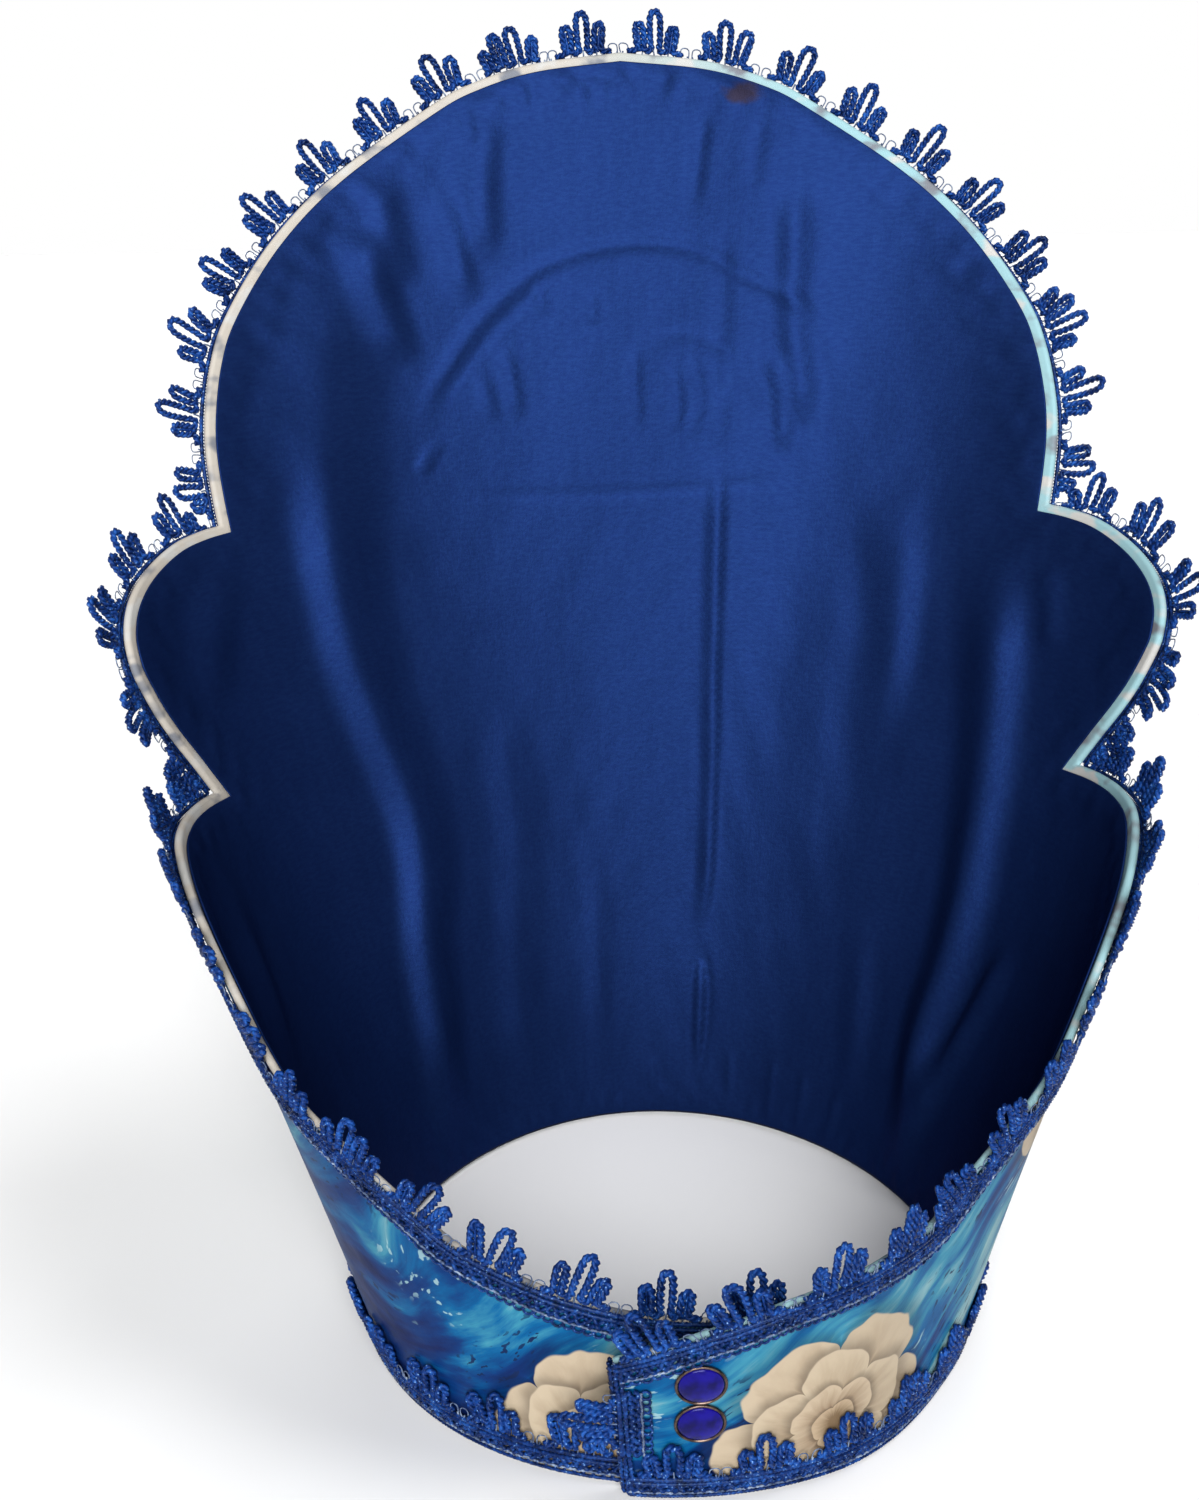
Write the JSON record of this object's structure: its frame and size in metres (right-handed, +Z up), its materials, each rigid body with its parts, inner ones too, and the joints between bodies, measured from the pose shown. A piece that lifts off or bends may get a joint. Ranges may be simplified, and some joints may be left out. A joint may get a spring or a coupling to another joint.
{
  "type": "ceremonial crown",
  "caption": "Tall scalloped headdress crown, open at the top, with a stiff printed wall, satin lining, pierced braid edging and a snap closure at the back.",
  "frame": {"origin": "middle of the overall box in X and Y, on the plane that the base ring stands on", "axes": "+Z up, the tall front faces -Y, the overlapped closure is at +Y, the wearer's right is -X"},
  "size_m": [0.312, 0.2652, 0.3603],
  "materials": {
    "printed_cover": "smooth printed cloth over a stiff core",
    "satin": "soft satin sheen",
    "braid": "twisted lustrous thread",
    "snap_gloss": "glossy domed cap",
    "snap_bronze": "dark bronzed metal"
  },
  "bodies": {
    "root": {"crown_wall": "printed_cover", "lining": "satin", "top_lace": "braid", "bottom_lace": "braid", "closure_lace": "braid", "snap_cap_lower": "snap_gloss", "snap_cap_upper": "snap_gloss", "snap_rim_lower": "snap_bronze", "snap_rim_upper": "snap_bronze"}
  },
  "joints": []
}
